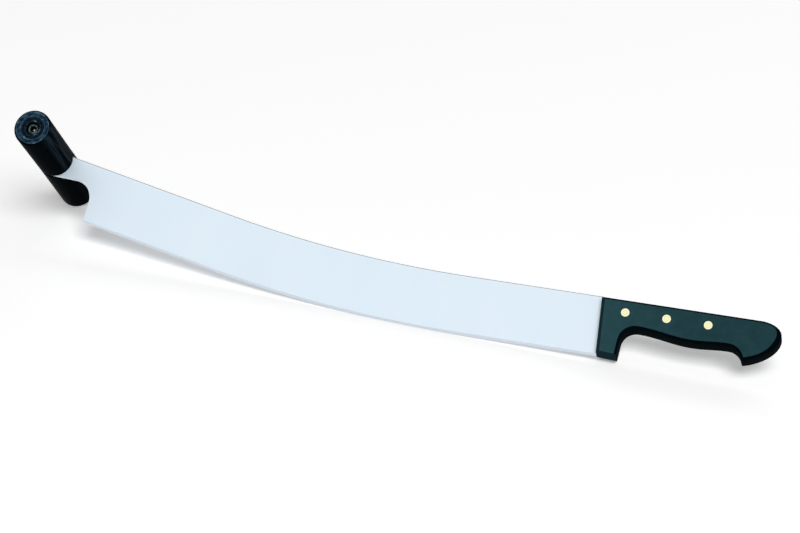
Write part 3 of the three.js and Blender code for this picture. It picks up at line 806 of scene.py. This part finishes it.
grip_place = knife @ Matrix.Translation(grip_axis.to_3d() * mm)
body = [(screw_hole_radius, grip_foot), (foot_radius - foot_chamfer, grip_foot)]
body += [(foot_radius, grip_foot + foot_chamfer)]
rim_centre = Vector((end_radius - rim_round, grip_end - rim_round))
body += [tuple(point) for point in arc(rim_centre, rim_round, 0, math.pi / 2, rim_steps)]
for ring in outer_rings:
    body += [(ring + ring_half, grip_end), (ring, grip_end - ring_depth), (ring - ring_half, grip_end)]
dish_floor = grip_end - dish_depth
body += [(dish_radius, grip_end), (dish_radius - dish_depth, dish_floor)]
for ring in dish_rings:
    body += [(ring + ring_half, dish_floor), (ring, dish_floor - ring_depth), (ring - ring_half, dish_floor)]
bore_floor = grip_end - head_bore_depth
head_bore = [(head_bore_radius + bore_chamfer, dish_floor), (head_bore_radius, dish_floor - bore_chamfer)]
head_bore += [(head_bore_radius, bore_floor), (screw_hole_radius, bore_floor)]
form = bmesh.new()
lathe(form, body + head_bore, grip_sides)
near_grip = make("grip_near", form, grip_place, (grip_plastic,))
settle(near_grip, "cross_grip_near")

form = bmesh.new()
lathe(form, [(radius, -height) for radius, height in body + [(screw_hole_radius, dish_floor)]], grip_sides)
far_grip = make("grip_far", form, grip_place, (grip_plastic,))
form = bmesh.new()
prism(form, hexagon(nut_seat_width), -grip_end - cutter_over, nut_seat_depth - grip_end)
cut(far_grip, make("nut_seat", form, grip_place))
settle(far_grip, "cross_grip_far")


# Screw and nut: a zinc-plated socket-head screw. Its head, down the near half's bore, is painted dark as
# painted shade, with a broken ring of painted reflection and a painted glint in its middle.
# It runs through both halves and the tongue to a six-sided nut in the far half.
screw_radius = 2.5
screw_end = -62.35
screw_end_chamfer = 0.6
screw_sides = 96
under_head = 55.85
head_top = 60.85
screw_head_radius = 4.25
screw_head_chamfer = 0.5
socket_width = 4
socket_depth = 2.6
nut_width = 8
nut_height = 4.7
nut_seat = -56.85
nut_chamfer_radius = 4.15
nut_chamfer_slope = math.radians(30)
nut_corner_spare = 0.1
nut_cone_height = 1
nut_hole_clearance = 0.05
nut_hole_sides = 48
nut_hole_over = 2
zinc_tones = (0.52, 0.54, 0.57), (0.74, 0.76, 0.78)
head_level = 55.5, 55.7
bore_shade_tone = (0.006, 0.010, 0.010)
ring_reflection_tones = (0.004, 0.007, 0.007), (0.09, 0.12, 0.11)
ring_reflection_limits = 0.44, 0.60
ring_reflection_radius = 3.1
ring_reflection_edge = 0.7, 0.5
glint_tone = (0.34, 0.42, 0.40)
glint_edge = 0.9, 0.6

zinc_steel, tree, shader, marks = ground_metal(
    "zinc_steel", line_scale=(3000, 3000, 300), roughness=(0.22, 0.40), relief=0.15)
# Painted shade darkens the head, broken by a ring of painted reflection, with a painted glint at the
# socket's bottom; below the head the zinc keeps its own tone.
ring_reflection = clouds(tree, own_place(tree), scale=420, detail=2.0, limits=ring_reflection_limits)
on_ring_reflection = band(tree, from_circle(tree, ring_reflection_radius), *ring_reflection_edge)
head_tone = blend(tree, on_ring_reflection, bore_shade_tone, blend(tree, ring_reflection, *ring_reflection_tones))
head_tone = blend(tree, band(tree, from_axis(tree), *glint_edge), head_tone, glint_tone)
zinc_tone = blend(tree, marks.outputs["Lines"], *zinc_tones)
on_head = band(tree, along_axis(tree), *head_level)
tree.links.new(blend(tree, on_head, zinc_tone, head_tone), shader.inputs["Base Color"])

form = bmesh.new()
lathe(form, [
    (0, screw_end),
    (screw_radius - screw_end_chamfer, screw_end),
    (screw_radius, screw_end + screw_end_chamfer),
    (screw_radius, under_head),
    (screw_head_radius, under_head),
    (screw_head_radius, head_top - screw_head_chamfer),
    (screw_head_radius - screw_head_chamfer, head_top),
    (0, head_top),
], screw_sides)
screw = make("socket_screw", form, grip_place, (zinc_steel,))
form = bmesh.new()
prism(form, hexagon(socket_width), head_top - socket_depth, head_top + cutter_over)
cut(screw, make("key_socket", form, grip_place))
settle(screw, "grip_screw")

nut_face = nut_seat - nut_height
form = bmesh.new()
prism(form, hexagon(nut_width), nut_face, nut_seat)
nut = make("hex_nut", form, grip_place, (zinc_steel,))
form = bmesh.new()
nut_corner = nut_width / math.sqrt(3) + nut_corner_spare
nut_slope = (nut_corner - nut_chamfer_radius) * math.tan(nut_chamfer_slope)
lathe(form, [
    (0, nut_seat + nut_cone_height),
    (nut_chamfer_radius, nut_seat),
    (nut_corner, nut_seat - nut_slope),
    (nut_corner, nut_face + nut_slope),
    (nut_chamfer_radius, nut_face),
    (0, nut_face - nut_cone_height),
], screw_sides)
cut(nut, make("nut_turned", form, grip_place), "INTERSECT")
form = bmesh.new()
nut_hole = arc(Vector((0, 0)), screw_radius + nut_hole_clearance, 0, 2 * math.pi, nut_hole_sides)[:-1]
prism(form, nut_hole, nut_face - nut_hole_over, nut_seat + nut_hole_over)
cut(nut, make("nut_hole", form, grip_place))
settle(nut, "grip_nut")


# Studio: a plain white floor under a white sky, with a large soft lamp in front, above and to the right,
# and a weak one behind. Each lamp has its power in watts, then its size and its place in metres.
white = (1, 1, 1, 1)
floor_half = 6000
floor_tone = (0.97, 0.97, 0.97, 1)
floor_roughness = 0.9
floor_lift = 0.27
sky_light = 0.12
lamp_aim = Vector((0, 0, 0.03))
lamps = {
    "front_lamp": (525, (3.8, 3.8), Vector((2.08, -5.2, 5.79))),
    "back_lamp": (20, (4.0, 0.8), Vector((0.69, 2.7, 2.1))),
}


def seen_directly(tree):
    """1 for what the camera sees, also in a mirror or through glass, and 0 for light that was scattered."""
    path = node(tree, "LightPath")
    seen = reckon(tree, "MAXIMUM", path.outputs["Is Camera Ray"], path.outputs["Is Glossy Ray"])
    seen = reckon(tree, "MAXIMUM", seen, path.outputs["Is Transmission Ray"])
    return reckon(tree, "SUBTRACT", seen, path.outputs["Diffuse Depth"], use_clamp=True)


floor_white, tree, shader = surface("floor_white")
shader.inputs["Base Color"].default_value = floor_tone
shader.inputs["Roughness"].default_value = floor_roughness
shader.inputs["Specular IOR Level"].default_value = 0.0
shader.inputs["Emission Color"].default_value = white
lift = reckon(tree, "MULTIPLY", seen_directly(tree), floor_lift)
tree.links.new(lift, shader.inputs["Emission Strength"])
form = bmesh.new()
bmesh.ops.create_grid(form, x_segments=8, y_segments=8, size=floor_half)
floor = make("floor", form, Matrix.Translation((0, 0, cad_box[0][2])), (floor_white,))

sky = bpy.data.worlds.new("sky")
bpy.context.scene.world = sky
sky.use_nodes = True
tree = sky.node_tree
background = tree.nodes["Background"]
background.inputs["Color"].default_value = white
tree.links.new(spread(tree, seen_directly(tree), sky_light, 1), background.inputs["Strength"])

for name, (power, size, place) in lamps.items():
    lamp = bpy.data.lights.new(name, "AREA")
    lamp.shape = "RECTANGLE"
    lamp.size, lamp.size_y = size
    lamp.energy = power
    holder = bpy.data.objects.new(name, lamp)
    holder.location = place
    holder.rotation_euler = (place - lamp_aim).to_track_quat("Z", "Y").to_euler()
    holder.visible_camera = False
    holder.visible_glossy = False
    bpy.context.scene.collection.objects.link(holder)

# Camera: about two metres off on the near side, to the right of the blade's middle and below its edge.
# The rows of its axes are its right, its up and its back, in the knife's own frame.
camera_place = Vector((253.52, -575.36, 1794.76))
camera_axes = Matrix(((0.96661, 0.20684, -0.15124), (-0.1475, 0.9318, 0.33165), (0.20953, -0.29827, 0.9312)))
camera_data = bpy.data.cameras.new("camera")
camera_data.sensor_width = 36
camera_data.lens = 119.25
camera = bpy.data.objects.new("camera", camera_data)
camera.matrix_world = knife @ Matrix.Translation(camera_place * mm) @ camera_axes.transposed().to_4x4()
bpy.context.scene.collection.objects.link(camera)
bpy.context.scene.camera = camera
bpy.context.scene.view_settings.view_transform = "Standard"
